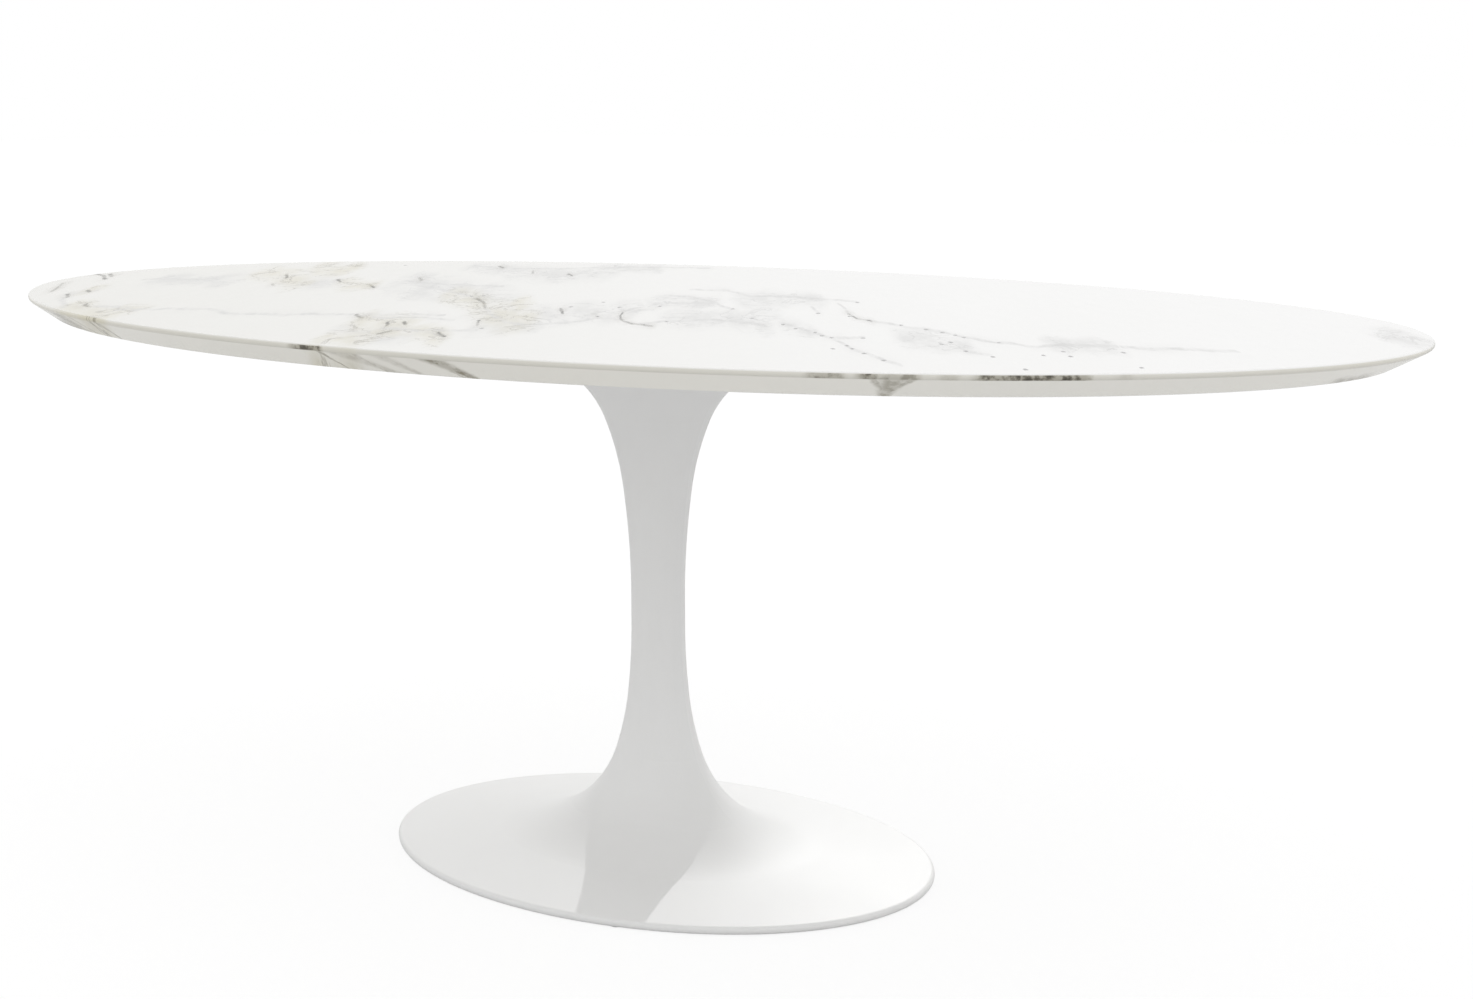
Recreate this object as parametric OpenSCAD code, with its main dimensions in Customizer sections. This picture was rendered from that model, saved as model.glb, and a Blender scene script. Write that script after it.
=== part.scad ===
// Oval pedestal dining table.
// The long axis of the top and of the foot is X, Z is up, and the origin is on the floor under
// the middle of the table. All sizes are in millimetres and all angles in degrees.

/* [Stone top] */
// Height of the table over the floor
table_height = 720; // [700:1:780]
// Length of the oval top
top_length = 1980; // [1700:10:2400]
// Width of the oval top
top_width = 1220; // [1000:10:1400]
// Thickness of the stone
stone_t = 26; // [20:1:32]
// Radius of the rounded nose at the top's edge
nose_r = 3.2; // [2:0.1:5]
// How far the nose's round stands over the flat that is ground across it
nose_ease = 0.2; // [0.1:0.05:0.6]
// Run of the bevel under the edge, measured along the length
bevel_run = 41; // [20:1:80]

/* [Backing board] */
// Thickness of the plywood board
board_t = 20; // [18:1:28]
// How far the board stays inside the stone's underside
board_setback = 180; // [150:5:220]
// Thickness of the adhesive bed
bond_t = 1; // [0.5:0.1:2]
// How far the adhesive bed stays inside the board's edge
bond_setback = 8; // [4:1:20]

/* [Foot] */
// Length of the oval foot
foot_length = 776; // [700:2:860]
// Width of the oval foot
foot_width = 572; // [520:2:640]
// Slope of the foot's upper side
foot_slope = 5; // [4:0.5:8]
// Radius of the rounded rim
rim_r = 5; // [4:0.25:7]
// Width of the flat land under the rim, measured along the length
rim_land = 30; // [28:1:45]
// Thickness of the casting's wall, measured along the length
wall = 8; // [6:0.5:10]

/* [Stem] */
// Half length of the stem's oval section at its neck
neck_r = 38.5; // [36:0.5:46]
// Radius of the long sweep below the neck
lower_sweep_r = 800; // [500:10:980]
// Turn of the long sweep below the neck
lower_sweep_a = 6.4; // [4:0.1:9]
// Radius of the bend towards the foot
lower_bend_r = 366; // [280:1:440]
// Turn of the bend towards the foot
lower_bend_a = 11.7; // [9:0.1:15]
// Radius of the root, where the stem swings out
root_r = 150; // [120:1:180]
// Turn of the root
root_a = 39; // [34:0.5:44]
// Radius of the run-out onto the foot
runout_r = 270; // [200:1:340]
// Radius of the long sweep above the neck
upper_sweep_r = 980; // [700:5:990]
// Turn of the long sweep above the neck
upper_sweep_a = 8; // [6:0.1:10]
// Radius of the bend towards the mouth
upper_bend_r = 348; // [280:1:400]
// Turn of the bend towards the mouth
upper_bend_a = 14.5; // [11:0.5:18]
// Radius of the flare
flare_r = 122; // [100:1:140]
// Turn of the flare
flare_a = 33; // [29:0.5:36]
// Radius of the last easing towards the mouth's edge
mouth_sweep_r = 400; // [250:10:500]
// Turn of the last easing towards the mouth's edge
mouth_sweep_a = 8.2; // [5:0.1:10]
// Radius of the mouth's rounded edge
mouth_edge_r = 2.5; // [2:0.1:4]

/* [Inside the pedestal] */
// Depth of the machined seat under the mouth's edge
seat_depth = 20; // [16:1:26]
// Thickness of the web that carries the seat
seat_web_t = 12; // [8:1:16]
// Number of ribs under the foot
rib_count = 12; // [8:1:16]
// Thickness of a rib
rib_t = 6; // [4:0.5:8]
// How far the ribs stay over the floor
rib_lift = 7; // [4:0.5:12]
// Radius of the boss where the ribs meet
boss_r = 24; // [20:1:30]
// Height of the boss
boss_h = 22; // [16:1:30]

/* [Spider] */
// Thickness of the arms
arm_t = 12; // [8:0.5:14]
// Gap between the mouth's edge and the arms
arm_clearance = 1; // [0.5:0.1:3]
// Width of an arm at the hub
arm_root_w = 64; // [50:1:80]
// Width of an arm at its end
arm_end_w = 40; // [34:1:48]
// Reach of the two arms along the length, to their screws
long_reach = 460; // [400:5:560]
// Reach of the four slanting arms, to their screws
short_reach = 285; // [240:5:360]
// Angle between the length and a slanting arm
short_angle = 52; // [45:1:60]
// Depth of the rib under an arm
arm_rib_h = 12; // [6:0.5:16]
// Thickness of the rib under an arm
arm_rib_t = 8; // [6:0.5:12]
// Radius of the hub that stands on the seat
hub_r = 62; // [50:1:72]
// Radius of the hollow that takes the rod's nut
nut_well_r = 21; // [18:0.5:26]
// Thickness of the hub under the nut
hub_floor_t = 13; // [10:0.5:18]
// Spacing of the second screws on the long arms
second_screw_back = 150; // [100:5:170]
// Extra length of the screw slots
slot_extra = 5; // [2:0.5:10]

/* [Pads, inserts and glides] */
// Thickness of an isolation pad
pad_t = 2; // [1.5:0.5:4]
// Radius of an isolation pad
pad_r = 16; // [12:0.5:17]
// Outer radius of a threaded insert
insert_r = 6; // [5.5:0.25:8]
// Length of a threaded insert
insert_l = 13; // [10:0.5:15]
// Number of glides under the rim
glide_count = 8; // [6:1:12]
// Radius of a glide's head
glide_r = 8; // [6:0.25:9]
// Thickness of a glide's head
glide_t = 3.5; // [3:0.25:5]
// How far a glide stands out under the rim
glide_proud = 1.5; // [1:0.25:2.5]
// Depth of the glide's counterbore under its screw's head
glide_sink = 0.8; // [0.5:0.1:1.2]
// Radius of a glide screw's thread
glide_screw_r = 2; // [1.5:0.1:2.25]
// Radius of a glide screw's countersunk head
glide_head_r = 4; // [3.5:0.1:4.5]
// How far a glide screw reaches into the foot
glide_screw_bite = 5; // [3:0.25:5.5]

/* [Fasteners] */
// Radius of the top screws' thread
screw_r = 4; // [3:0.5:5]
// How far the top screws reach into the inserts
screw_bite = 10; // [6:0.5:10]
// Width across flats of the screw heads
screw_af = 13; // [10:0.5:17]
// Height of the screw heads
screw_head_h = 5.3; // [4:0.1:7]
// Thickness of the screws' flat washers
washer_t = 1.6; // [1:0.1:2.5]
// Outer radius of the screws' flat washers
washer_r = 8; // [7:0.25:10]
// Thickness of the screws' spring washers
lock_t = 2; // [1.5:0.1:3]
// Outer radius of the screws' spring washers
lock_r = 7; // [6.5:0.1:8]
// Radius of the tie rod
rod_r = 6; // [5:0.5:8]
// Width across flats of the rod's nuts
rod_nut_af = 19; // [17:0.5:24]
// Height of the rod's nuts
rod_nut_h = 10.8; // [8:0.1:13]
// Thickness of the rod's flat washers
rod_washer_t = 2.5; // [2:0.1:3.5]
// Outer radius of the rod's flat washers
rod_washer_r = 15; // [12:0.5:18]
// Thickness of the rod's spring washer
rod_lock_t = 3; // [2:0.1:4]
// Outer radius of the rod's spring washer
rod_lock_r = 10.5; // [10:0.25:13]
// How far the rod stands out past its nuts
rod_proud = 3; // [1:0.5:5]
// Thickness of the clamp plate under the boss
clamp_t = 8; // [6:0.5:9]
// Radius of the clamp plate
clamp_r = 42; // [36:1:50]
// Radius of the locating pins
pin_r = 4; // [3:0.5:6]
// Length of the locating pins
pin_l = 24; // [20:1:28]
// Distance of the locating pins from the middle
pin_offset = 44; // [34:1:50]
// Clearance around screws, the rod and pins in plain holes
hole_clear = 0.5; // [0.2:0.1:1]
// Width of the cut in a spring washer
lock_cut = 2; // [1:0.5:3]

/* [Hidden] */

$fn = 96;
past = 1;          // how far a cutting solid reaches past what it cuts
kink = 0.8;        // turn between two arcs, so that their edge is a clean crossing
lap = 0.5;         // how far neighbouring arcs run over their crossing
bite = 0.01;       // how deep a rounded edge bites into what it rounds
core_depth = 6;    // depth of the core under the arcs' skins
coat_white = "#ecebea";
stone_white = "#f1efea";

// Heights, from the top down
stone_z = table_height - stone_t;
bond_z = stone_z - bond_t;
board_z = bond_z - board_t;
pad_z = board_z - pad_t;
arm_z = pad_z - arm_t;
mouth_z = arm_z - arm_clearance;
seat_z = mouth_z - seat_depth;
well_z = seat_z + hub_floor_t;

// The foot and the stem share one oval: every level section has the foot's proportions
foot_a = foot_length / 2;
oval = foot_length / foot_width;
rim_centre = [foot_a - rim_r, glide_proud + rim_r - bite];
rim_top = rim_centre + (rim_r - bite) * [sin(foot_slope), cos(foot_slope)];

// The stem's outline is two chains of arcs, [radius, turn], that leave a straight neck
lower_arcs = [
    [lower_sweep_r, lower_sweep_a],
    [lower_bend_r, lower_bend_a],
    [root_r, root_a],
    [runout_r, 90 - foot_slope - lower_sweep_a - lower_bend_a - root_a - 5 * kink]
];
upper_arcs = [
    [upper_sweep_r, upper_sweep_a],
    [upper_bend_r, upper_bend_a],
    [flare_r, flare_a],
    [mouth_sweep_r, mouth_sweep_a]
];
root_reach = neck_r + chain_end(lower_arcs, -1).x;
root_end = [root_reach, rim_top.y + (rim_top.x - root_reach) * tan(foot_slope)];
neck_low = [neck_r, root_end.y - chain_end(lower_arcs, -1).y];
mouth_turn = last(upper_arcs, 3);
flare_end = [
    neck_r + chain_end(upper_arcs, 1).x,
    mouth_z - (mouth_edge_r - bite) * (1 + sin(mouth_turn))
];
neck_high = [neck_r, flare_end.y - chain_end(upper_arcs, 1).y];
mouth_centre = flare_end + (mouth_edge_r - bite) * ray(1, mouth_turn);
mouth_a = mouth_centre.x + mouth_edge_r;

// The boss and what hangs under it
boss_lift = 6;     // height of the rod's lower end over the floor
boss_z = boss_lift + rod_proud + rod_nut_h + rod_lock_t + rod_washer_t + clamp_t;
clamp_z = boss_z - clamp_t;
rod_washer_z = clamp_z - rod_washer_t;
rod_lock_z = rod_washer_z - rod_lock_t;
rod_nut_z = rod_lock_z - rod_nut_h;
rod_low_z = rod_nut_z - rod_proud;
rod_high_z = well_z + rod_washer_t + rod_nut_h + rod_proud;

// A glide screw's head is a right-angled cone
glide_cone_h = glide_head_r - glide_screw_r;

// The screws under the arms
washer_z = arm_z - washer_t;
lock_z = washer_z - lock_t;
head_z = lock_z - screw_head_h;

// Each arm is [direction, reach to its screw, end of its rib]
long_rib_end = long_reach - second_screw_back - arm_end_w / 2;
short_rib_end = short_reach - arm_end_w;
arms = [
    [0, long_reach, long_rib_end],
    [180, long_reach, long_rib_end],
    [short_angle, short_reach, short_rib_end],
    [180 - short_angle, short_reach, short_rib_end],
    [-short_angle, short_reach, short_rib_end],
    [180 + short_angle, short_reach, short_rib_end]
];
screw_places = concat(
    [for (a = arms) [a[0], a[1]]],
    [for (side = [0, 180]) [side, long_reach - second_screw_back]]
);

// Direction of a chain's outline from upright, where its arc i starts and ends
function first(arcs, i) = kink + (i == 0 ? 0 : last(arcs, i - 1));
function last(arcs, i) = first(arcs, i) + arcs[i][1];
// Unit vector from an arc's centre to its outline. up is 1 for the upper chain, -1 for the lower
function ray(up, direction) = [-cos(direction), up * sin(direction)];
// Where a chain's arc i starts, and its centre, seen from the chain's own start
function arc_start(arcs, up, i) = i == 0 ? [0, 0] :
    arc_start(arcs, up, i - 1)
    + arcs[i - 1][0] * (ray(up, last(arcs, i - 1)) - ray(up, first(arcs, i - 1)));
function arc_centre(arcs, up, i) = arc_start(arcs, up, i) - arcs[i][0] * ray(up, first(arcs, i));
function chain_end(arcs, up) = arc_start(arcs, up, len(arcs));
// Every outline's points run anticlockwise
function turned(points, turn) = turn ? [for (i = [len(points) - 1:-1:0]) points[i]] : points;

// Squeezes a round solid into the pedestal's oval, or into the top's
module pedestal_oval() { scale([1, 1 / oval, 1]) children(); }
module top_oval() { scale([1, top_width / top_length, 1]) children(); }

// Keeps what lies between two levels
module between(low, high, reach) {
    intersection() {
        children();
        translate([-reach, -reach, low]) cube([2 * reach, 2 * reach, high - low]);
    }
}

// Wedge that stands on one concave arc and reaches inwards. skin moves the outline inwards
module arc_shell(radius, from, to, up, skin) {
    reach = (radius + skin + 2 * core_depth) / cos((to - from) / 2);
    difference() {
        polygon(turned([[0, 0], reach * ray(up, from), reach * ray(up, to)], up > 0));
        circle(radius + skin, $fn = 240);
    }
}

// Half outline of one chain of arcs that starts at a point: shells on a many-sided core
module arc_chain(start, arcs, up, skin, end_lap) {
    for (i = [0:len(arcs) - 1]) {
        slack = lap / arcs[i][0] * 180 / PI;
        end_slack = i < len(arcs) - 1 ? slack : slack * end_lap;
        translate(start) translate(arc_start(arcs, up, i))
            translate(-arcs[i][0] * ray(up, first(arcs, i)))
                arc_shell(
                    arcs[i][0], first(arcs, i) - slack, last(arcs, i) + end_slack, up, skin
                );
    }
    core = [
        for (i = [0:len(arcs) - 1], end = [first(arcs, i), last(arcs, i)])
            start + arc_centre(arcs, up, i)
            + (arcs[i][0] + skin + core_depth) / cos(arcs[i][1] / 2) * ray(up, end)
    ];
    tip = core[len(core) - 1];
    foot = tip + [0, up * past];
    polygon(turned(concat([[0, core[0].y]], core, [foot, [0, foot.y]]), up < 0));
}

// Half outline of the stem from the root to the flare's end
module stem_outline(skin) {
    arc_chain(neck_low, lower_arcs, -1, skin, 1);
    translate([0, neck_low.y - lap])
        square([neck_r - skin, neck_high.y - neck_low.y + 2 * lap]);
    arc_chain(neck_high, upper_arcs, 1, skin, 0);
}

module outer_outline() {
    intersection() {
        translate([0, glide_proud]) square([foot_a + past, mouth_z - glide_proud]);
        union() {
            stem_outline(0);
            polygon([
                [0, 0], [rim_centre.x, 0], rim_top,
                root_end + lap * [-cos(foot_slope), sin(foot_slope)], [0, root_end.y]
            ]);
            translate(rim_centre) circle(rim_r);
            translate([0, flare_end.y]) square([mouth_centre.x, mouth_z]);
            translate(mouth_centre) circle(mouth_edge_r);
        }
    }
}

// Half outline of the space inside the wall, open at the floor and at the mouth
module inner_outline() {
    root_in = root_end - wall * [sin(foot_slope), cos(foot_slope)];
    land_in = foot_a - rim_land;
    stem_outline(wall);
    polygon([
        [0, -past], [land_in, -past],
        [land_in, root_in.y - (land_in - root_in.x) * tan(foot_slope)],
        root_in + lap * [-cos(foot_slope), sin(foot_slope)], [0, root_in.y]
    ]);
}

module ribs() {
    difference() {
        for (i = [0:rib_count - 1])
            rotate(i * 360 / rib_count)
                translate([0, -rib_t / 2, rib_lift])
                    cube([foot_a, rib_t, boss_z + boss_h - rib_lift]);
        cylinder(h = boss_z, r = clamp_r + wall);
    }
}

module pedestal_hollow() {
    difference() {
        pedestal_oval() rotate_extrude() inner_outline();
        translate([-foot_a, -foot_a, seat_z - seat_web_t])
            cube([foot_length, foot_length, seat_web_t]);
        ribs();
        translate([0, 0, boss_z]) cylinder(h = boss_h, r = boss_r);
    }
}

// Puts children at each glide, on the middle of the land
module at_glides() {
    ring_a = foot_a - rim_r - (rim_land - rim_r) / 2;
    for (i = [0:glide_count - 1]) {
        turn = (i + 0.5) * 360 / glide_count;
        translate([ring_a * cos(turn), ring_a / oval * sin(turn), 0]) children();
    }
}

module at_screws() {
    for (place = screw_places)
        rotate(place[0]) translate([place[1], 0, 0]) children();
}

module at_pins() {
    for (side = [-1, 1]) translate([side * pin_offset, 0, 0]) children();
}

module ring(outer, inner, height) {
    difference() {
        cylinder(h = height, r = outer);
        translate([0, 0, -past]) cylinder(h = height + 2 * past, r = inner);
    }
}

module split_ring(outer, inner, height) {
    difference() {
        ring(outer, inner, height);
        translate([0, -lock_cut / 2, -past]) cube([outer + past, lock_cut, height + 2 * past]);
    }
}

module hex_nut(flats, bore, height) {
    difference() {
        cylinder(h = height, d = flats / cos(30), $fn = 6);
        translate([0, 0, -past]) cylinder(h = height + 2 * past, r = bore);
    }
}

module stone_top() {
    a = top_length / 2;
    foot_of_bevel = [a - bevel_run, stone_z];
    nose = [a - nose_r, table_height - nose_r + nose_ease];
    span = nose - foot_of_bevel;
    lean = atan2(span.y, span.x) - asin(nose_r / norm(span));
    touch = nose + (nose_r - bite) * [sin(lean), -cos(lean)];
    color(stone_white)
        between(stone_z, table_height, a + past)
            top_oval() rotate_extrude() {
                polygon([
                    [0, stone_z - past], [foot_of_bevel.x - past / tan(lean), stone_z - past],
                    touch, nose, [nose.x, table_height + past], [0, table_height + past]
                ]);
                translate(nose) circle(nose_r);
            }
}

board_a = top_length / 2 - bevel_run - board_setback;
board_b = top_width / 2 - bevel_run * top_width / top_length - board_setback;

module flat_oval(a, b, low, high) {
    between(low, high, a + past)
        scale([1, b / a, 1])
            translate([0, 0, low - past]) cylinder(h = high - low + 2 * past, r = a);
}

module bond_layer() {
    color("#d8d4c8") flat_oval(board_a - bond_setback, board_b - bond_setback, bond_z, stone_z);
}

module backing_board() {
    color("#c9a878")
        difference() {
            flat_oval(board_a, board_b, board_z, bond_z);
            at_screws() translate([0, 0, board_z - past]) cylinder(h = insert_l + past, r = insert_r);
        }
}

module board_inserts() {
    color("#c8a24a")
        at_screws() translate([0, 0, board_z]) ring(insert_r, screw_r, insert_l);
}

module isolation_pads() {
    color("#2b2b2b")
        at_screws() translate([0, 0, pad_z]) ring(pad_r, screw_r + hole_clear, pad_t);
}

module arm(reach, rib_end) {
    half_end = arm_end_w / 2;
    rib_start = mouth_a + 3 * arm_clearance + wall;
    translate([0, 0, arm_z])
        linear_extrude(arm_t) {
            polygon([
                [0, -arm_root_w / 2], [reach, -half_end], [reach, half_end], [0, arm_root_w / 2]
            ]);
            translate([reach, 0]) circle(half_end);
        }
    translate([0, arm_rib_t / 2, arm_z])
        rotate([90, 0, 0])
            linear_extrude(arm_rib_t)
                polygon([[rib_start, 0], [rib_end, 0], [rib_start, -arm_rib_h]]);
}

module mounting_spider() {
    color(coat_white)
        difference() {
            union() {
                for (a = arms) rotate(a[0]) arm(a[1], a[2]);
                translate([0, 0, seat_z]) cylinder(h = pad_z - seat_z, r = hub_r);
            }
            translate([0, 0, well_z]) cylinder(h = pad_z, r = nut_well_r);
            translate([0, 0, seat_z - past]) cylinder(h = pad_z, r = rod_r + hole_clear);
            at_pins()
                translate([0, 0, seat_z - past])
                    cylinder(h = pin_l / 2 + 2 * past, r = pin_r + hole_clear / 5);
            at_screws()
                for (shift = [-1, 1])
                    translate([shift * slot_extra / 2, 0, arm_z - past])
                        cylinder(h = arm_t + 2 * past, r = screw_r + hole_clear);
            at_screws()
                translate([-slot_extra / 2, -screw_r - hole_clear, arm_z - past])
                    cube([slot_extra, 2 * (screw_r + hole_clear), arm_t + 2 * past]);
        }
}

module top_screws() {
    color("#8f9194")
        at_screws() {
            translate([0, 0, head_z])
                cylinder(h = screw_head_h, d = screw_af / cos(30), $fn = 6);
            translate([0, 0, lock_z]) cylinder(h = board_z + screw_bite - lock_z, r = screw_r);
        }
}

module top_screw_washers() {
    color("#b4b6b8")
        at_screws() translate([0, 0, washer_z]) ring(washer_r, screw_r + hole_clear, washer_t);
}

module top_screw_lock_washers() {
    color("#6f7275")
        at_screws() translate([0, 0, lock_z]) split_ring(lock_r, screw_r + hole_clear / 2, lock_t);
}

module locating_pins() {
    color("#a9abad")
        at_pins() translate([0, 0, seat_z - pin_l / 2]) cylinder(h = pin_l, r = pin_r);
}

module pedestal() {
    color(coat_white)
        difference() {
            pedestal_oval() rotate_extrude() outer_outline();
            pedestal_hollow();
            cylinder(h = mouth_z, r = rod_r + hole_clear);
            at_pins() translate([0, 0, seat_z - pin_l / 2]) cylinder(h = pin_l, r = pin_r);
            at_glides() {
                cylinder(h = glide_t, r = glide_r);
                cylinder(h = glide_t + glide_screw_bite, r = glide_screw_r);
            }
        }
}

module tie_rod() {
    color("#9a9c9f") translate([0, 0, rod_low_z]) cylinder(h = rod_high_z - rod_low_z, r = rod_r);
}

module tie_rod_top_washer() {
    color("#b4b6b8") translate([0, 0, well_z]) ring(rod_washer_r, rod_r + hole_clear, rod_washer_t);
}

module tie_rod_top_nut() {
    color("#8f9194")
        translate([0, 0, well_z + rod_washer_t]) hex_nut(rod_nut_af, rod_r, rod_nut_h);
}

module tie_rod_clamp_plate() {
    color("#7d8083") translate([0, 0, clamp_z]) ring(clamp_r, rod_r + hole_clear, clamp_t);
}

module tie_rod_bottom_washer() {
    color("#b4b6b8")
        translate([0, 0, rod_washer_z]) ring(rod_washer_r, rod_r + hole_clear, rod_washer_t);
}

module tie_rod_lock_washer() {
    color("#6f7275")
        translate([0, 0, rod_lock_z]) split_ring(rod_lock_r, rod_r + hole_clear / 2, rod_lock_t);
}

module tie_rod_bottom_nut() {
    color("#8f9194") translate([0, 0, rod_nut_z]) hex_nut(rod_nut_af, rod_r, rod_nut_h);
}

module floor_glides() {
    color("#e4e4e2")
        at_glides()
            difference() {
                cylinder(h = glide_t, r = glide_r);
                translate([0, 0, -past]) cylinder(h = past + glide_sink, r = glide_head_r);
                translate([0, 0, glide_sink])
                    cylinder(h = glide_cone_h, r1 = glide_head_r, r2 = glide_screw_r);
                cylinder(h = glide_t + past, r = glide_screw_r);
            }
}

module glide_screws() {
    color("#a9abad")
        at_glides() {
            translate([0, 0, glide_sink])
                cylinder(h = glide_cone_h, r1 = glide_head_r, r2 = glide_screw_r);
            translate([0, 0, glide_sink])
                cylinder(h = glide_t + glide_screw_bite - glide_sink, r = glide_screw_r);
        }
}

stone_top();
bond_layer();
backing_board();
board_inserts();
isolation_pads();
mounting_spider();
top_screws();
top_screw_washers();
top_screw_lock_washers();
locating_pins();
pedestal();
tie_rod();
tie_rod_top_washer();
tie_rod_top_nut();
tie_rod_clamp_plate();
tie_rod_bottom_washer();
tie_rod_lock_washer();
tie_rod_bottom_nut();
floor_glides();
glide_screws();
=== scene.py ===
import math
from types import SimpleNamespace

import bpy
from mathutils import Matrix, Vector


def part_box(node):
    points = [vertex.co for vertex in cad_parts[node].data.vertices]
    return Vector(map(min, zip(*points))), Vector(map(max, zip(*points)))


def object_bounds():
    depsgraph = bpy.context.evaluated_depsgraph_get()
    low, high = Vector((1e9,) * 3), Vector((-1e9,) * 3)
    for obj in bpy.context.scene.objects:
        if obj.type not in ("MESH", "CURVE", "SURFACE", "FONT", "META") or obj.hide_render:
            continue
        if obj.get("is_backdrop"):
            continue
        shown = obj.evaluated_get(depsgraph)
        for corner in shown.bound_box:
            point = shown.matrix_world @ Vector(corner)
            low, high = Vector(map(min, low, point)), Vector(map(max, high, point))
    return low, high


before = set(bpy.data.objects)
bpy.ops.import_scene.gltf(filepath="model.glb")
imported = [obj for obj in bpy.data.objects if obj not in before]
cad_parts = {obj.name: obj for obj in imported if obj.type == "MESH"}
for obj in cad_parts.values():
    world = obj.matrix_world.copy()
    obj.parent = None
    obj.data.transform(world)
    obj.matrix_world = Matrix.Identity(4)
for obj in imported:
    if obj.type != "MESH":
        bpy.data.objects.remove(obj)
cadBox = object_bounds()
print("frame loaded:", len(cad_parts), "nodes")

stoneUnderside, stoneTop = (corner[2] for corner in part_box("stone_top"))

cameraSet = {
    "place": (1.9316, -2.3317, 0.9833),
    "heading": 37.7205,     # degrees from +Y towards -X
    "pitch": -9.6612,
    "roll": -0.0227,
    "focalLength": 58.478,
    "filmWidth": 36.0,
    "sight": 60.0,          # metres that the camera sees
}


def makeCamera(s):
    lens = bpy.data.cameras.new("camera")
    lens.lens, lens.sensor_width = s["focalLength"], s["filmWidth"]
    lens.clip_end = s["sight"]
    camera = bpy.data.objects.new("camera", lens)
    turn = (
        Matrix.Rotation(math.radians(s["heading"]), 4, "Z")
        @ Matrix.Rotation(math.radians(90 + s["pitch"]), 4, "X")
        @ Matrix.Rotation(math.radians(s["roll"]), 4, "Z")
    )
    camera.matrix_world = Matrix.Translation(s["place"]) @ turn
    bpy.context.scene.collection.objects.link(camera)
    bpy.context.scene.camera = camera


makeCamera(cameraSet)
print("camera set")


class Wire:
    # one shader value; arithmetic on it adds Math nodes
    def __init__(self, nodes, socket):
        self.nodes, self.socket = nodes, socket

    def __add__(self, other): return self.nodes.maths("ADD", self, other)
    def __radd__(self, other): return self.nodes.maths("ADD", other, self)
    def __sub__(self, other): return self.nodes.maths("SUBTRACT", self, other)
    def __rsub__(self, other): return self.nodes.maths("SUBTRACT", other, self)
    def __mul__(self, other): return self.nodes.maths("MULTIPLY", self, other)
    def __rmul__(self, other): return self.nodes.maths("MULTIPLY", other, self)
    def __truediv__(self, other): return self.nodes.maths("DIVIDE", self, other)
    def __rtruediv__(self, other): return self.nodes.maths("DIVIDE", other, self)
    def __pow__(self, other): return self.nodes.maths("POWER", self, other)
    def __rpow__(self, other): return self.nodes.maths("POWER", other, self)


class Nodes:
    # adds nodes to one tree and joins them
    def __init__(self, tree):
        self.tree = tree

    def node(self, kind, settings=None, inputs=None, out=0):
        made = self.tree.nodes.new(kind)
        for key, value in (settings or {}).items():
            if key == "stops":
                self.setStops(made.color_ramp, value)
            else:
                setattr(made, key, value)
        for key, value in (inputs or {}).items():
            if isinstance(value, Wire):
                self.tree.links.new(value.socket, made.inputs[key])
            else:
                made.inputs[key].default_value = value
        return Wire(self, made.outputs[out])

    def setStops(self, ramp, stops):
        while len(ramp.elements) < len(stops):
            ramp.elements.new(0.5)
        for element, (position, colour) in zip(ramp.elements, stops):
            element.position, element.color = position, (*colour, 1)

    def maths(self, operation, first, second=0.0):
        return self.node("ShaderNodeMath", {"operation": operation}, {0: first, 1: second})

    def clamp(self, value):
        return self.node("ShaderNodeClamp", {}, {"Value": value})

    def axis(self, place, letter):
        return self.node("ShaderNodeSeparateXYZ", {}, {0: place}, letter)

    def step(self, value, low, high):
        # smooth climb from 0 at low to 1 at high
        return self.node(
            "ShaderNodeMapRange", {"interpolation_type": "SMOOTHSTEP"},
            {"Value": value, "From Min": low, "From Max": high},
        )

    def fall(self, value, low, high):
        return 1 - self.step(value, low, high)

    def vector(self, operation, first, second=(0, 0, 0), scale=1.0, out=0):
        return self.node(
            "ShaderNodeVectorMath", {"operation": operation},
            {0: first, 1: second, 3: scale}, out,
        )

    def noise(self, place, scale, detail=3.0, rough=0.5, twist=0.0, out="Fac"):
        return self.node(
            "ShaderNodeTexNoise", {},
            {"Vector": place, "Scale": scale, "Detail": detail, "Roughness": rough,
             "Distortion": twist}, out,
        )

    def blend(self, share, first, second):
        # a mix of two colours; share runs from 0, the first, to 1, the second
        colours = [c if isinstance(c, Wire) else (*c, 1) for c in (first, second)]
        return self.node(
            "ShaderNodeMix", {"data_type": "RGBA"}, {0: share, 6: colours[0], 7: colours[1]}, 2,
        )

    def warp(self, place, scale, amount, detail):
        # shifts a place by a cloudy noise, so that straight strokes wander
        cloud = self.noise(place, scale, detail, out="Color")
        centred = self.vector("SUBTRACT", cloud, (0.5, 0.5, 0.5))
        return self.vector("ADD", place, self.vector("SCALE", centred, scale=amount))

    def bump(self, height, distance, below=None):
        inputs = {"Height": height, "Distance": distance}
        if below is not None:
            inputs["Normal"] = below
        return self.node("ShaderNodeBump", {}, inputs)


class Finish(Nodes):
    # a material with one Principled shader, and the nodes that feed it
    def __init__(self, name, **constants):
        self.material = bpy.data.materials.new(name)
        self.material.use_nodes = True
        super().__init__(self.material.node_tree)
        self.shader = self.tree.nodes["Principled BSDF"]
        for socket, value in constants.items():
            self.shader.inputs[socket.replace("_", " ")].default_value = value
        self.place = self.node("ShaderNodeTexCoord", out="Object")

    def feed(self, **sockets):
        for socket, value in sockets.items():
            self.tree.links.new(value.socket, self.shader.inputs[socket.replace("_", " ")])
        return self.material


def dress(nodeName, material):
    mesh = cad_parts[nodeName].data
    mesh.materials.clear()
    mesh.materials.append(material)


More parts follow.
